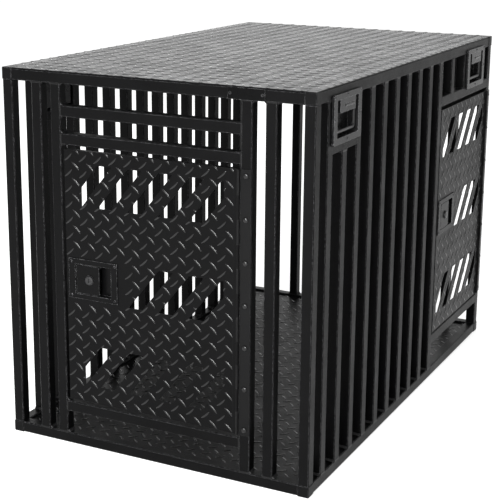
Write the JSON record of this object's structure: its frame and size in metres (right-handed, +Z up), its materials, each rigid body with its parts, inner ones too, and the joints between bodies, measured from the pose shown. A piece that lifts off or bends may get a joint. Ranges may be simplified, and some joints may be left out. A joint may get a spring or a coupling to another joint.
{
  "type": "dog crate",
  "caption": "Welded square-tube dog crate with barred sides, tread-plate roof and floor, a slotted front door, a side door, flush paddle latches and recessed lifting handles.",
  "frame": {"origin": "centre of the bounding box's bottom, on the ground", "axes": "+Z up, front door at -Y, side door at +X, length along Y"},
  "size_m": [0.7749, 1.2268, 0.8669],
  "materials": {
    "powder_coat": "black semi-gloss powder coat on aluminium tube",
    "corner_block": "black powder coat on cast corner blocks",
    "tread_plate": "black powder coat on aluminium tread plate",
    "latch_coat": "smooth black coat on pressed and die-cast latch pieces",
    "bail_coat": "black coat on a bent rod",
    "lock_steel": "bare machined metal"
  },
  "bodies": {
    "frame": {"block_front_left_bottom": "corner_block", "block_front_left_top": "corner_block", "block_front_right_bottom": "corner_block", "block_front_right_top": "corner_block", "block_back_left_bottom": "corner_block", "block_back_left_top": "corner_block", "block_back_right_bottom": "corner_block", "block_back_right_top": "corner_block", "post_front_left": "powder_coat", "post_front_right": "powder_coat", "post_back_left": "powder_coat", "post_back_right": "powder_coat", "rail_front_bottom": "powder_coat", "rail_right_bottom": "powder_coat", "rail_left_bottom": "powder_coat", "rail_back_bottom": "powder_coat", "rail_front_top": "powder_coat", "rail_right_top": "powder_coat", "front_bar_left": "powder_coat", "front_bar_right": "powder_coat", "front_latch_jamb": "powder_coat", "front_hinge_jamb": "powder_coat", "front_cross_bar": "powder_coat", "front_header": "powder_coat", "front_sill": "powder_coat", "side_near_bay": "powder_coat", "side_bar_4": "powder_coat", "side_bar_5": "powder_coat", "side_bar_6": "powder_coat", "side_bar_7": "powder_coat", "side_bar_8": "powder_coat", "side_bar_9": "powder_coat", "side_latch_jamb": "powder_coat", "side_header": "powder_coat", "side_sill": "powder_coat", "wall_left_grille": "powder_coat", "wall_back_grille": "powder_coat", "roof_pan": "tread_plate", "floor_pan": "tread_plate", "front_hinge_leaf": "powder_coat", "side_hinge_leaf": "powder_coat", "handle_plate_right_near": "powder_coat", "handle_plate_right_far": "powder_coat", "handle_plate_left_near": "powder_coat", "handle_plate_left_far": "powder_coat", "badge_plate": "latch_coat"},
    "front_door": {"front_door_panel": "tread_plate", "front_latch_dish": "latch_coat"},
    "front_paddle": {"front_latch_paddle": "latch_coat"},
    "front_lock": {"front_lock_cylinder": "lock_steel"},
    "front_bolt": {"front_latch_bolt": "lock_steel"},
    "side_door": {"side_door_panel": "tread_plate", "side_latch_dish": "latch_coat"},
    "side_paddle": {"side_latch_paddle": "latch_coat"},
    "side_lock": {"side_lock_cylinder": "lock_steel"},
    "side_bolt": {"side_latch_bolt": "lock_steel"},
    "bail_right_near": {"handle_bail_right_near": "bail_coat"},
    "bail_right_far": {"handle_bail_right_far": "bail_coat"},
    "bail_left_near": {"handle_bail_left_near": "bail_coat"},
    "bail_left_far": {"handle_bail_left_far": "bail_coat"}
  },
  "joints": [
    {"name": "front_door_hinge", "type": "hinge", "parent": "frame", "child": "front_door", "pos_m": [0.2116, -0.61025, 0.40415], "axis": [0, 0, 1], "range_deg": [0, 170]},
    {"name": "front_paddle_pull", "type": "hinge", "parent": "front_door", "child": "front_paddle", "pos_m": [-0.1902, -0.60355, 0.40415], "axis": [0, 0, -1], "range_deg": [0, 30], "stiffness_Nm_per_rad": 0.2, "springref_deg": -11.46},
    {"name": "front_lock_turn", "type": "hinge", "parent": "front_paddle", "child": "front_lock", "pos_m": [-0.1595, -0.60675, 0.40415], "axis": [0, -1, 0], "range_deg": [0, 90]},
    {"name": "front_bolt_throw", "type": "slide", "parent": "front_door", "child": "front_bolt", "axis": [-1, 0, 0], "range_m": [0, 0.018]},
    {"name": "side_door_hinge", "type": "hinge", "parent": "frame", "child": "side_door", "pos_m": [0.3843, 0.58305, 0.419], "axis": [0, 0, 1], "range_deg": [0, 170]},
    {"name": "side_paddle_pull", "type": "hinge", "parent": "side_door", "child": "side_paddle", "pos_m": [0.3776, 0.22125, 0.431], "axis": [0, 0, -1], "range_deg": [0, 30], "stiffness_Nm_per_rad": 0.2, "springref_deg": -11.46},
    {"name": "side_lock_turn", "type": "hinge", "parent": "side_paddle", "child": "side_lock", "pos_m": [0.3808, 0.25195, 0.431], "axis": [1, 0, 0], "range_deg": [0, 90]},
    {"name": "side_bolt_throw", "type": "slide", "parent": "side_door", "child": "side_bolt", "axis": [0, -1, 0], "range_m": [0, 0.018]},
    {"name": "bail_right_near_lift", "type": "hinge", "parent": "frame", "child": "bail_right_near", "pos_m": [0.3768, -0.45221, 0.827], "axis": [0, -1, 0], "range_deg": [0, 90]},
    {"name": "bail_right_far_lift", "type": "hinge", "parent": "frame", "child": "bail_right_far", "pos_m": [0.3768, 0.46009, 0.827], "axis": [0, -1, 0], "range_deg": [0, 90]},
    {"name": "bail_left_near_lift", "type": "hinge", "parent": "frame", "child": "bail_left_near", "pos_m": [-0.3772, -0.43488, 0.827], "axis": [0, 1, 0], "range_deg": [0, 90]},
    {"name": "bail_left_far_lift", "type": "hinge", "parent": "frame", "child": "bail_left_far", "pos_m": [-0.3772, 0.44058, 0.827], "axis": [0, 1, 0], "range_deg": [0, 90]}
  ]
}
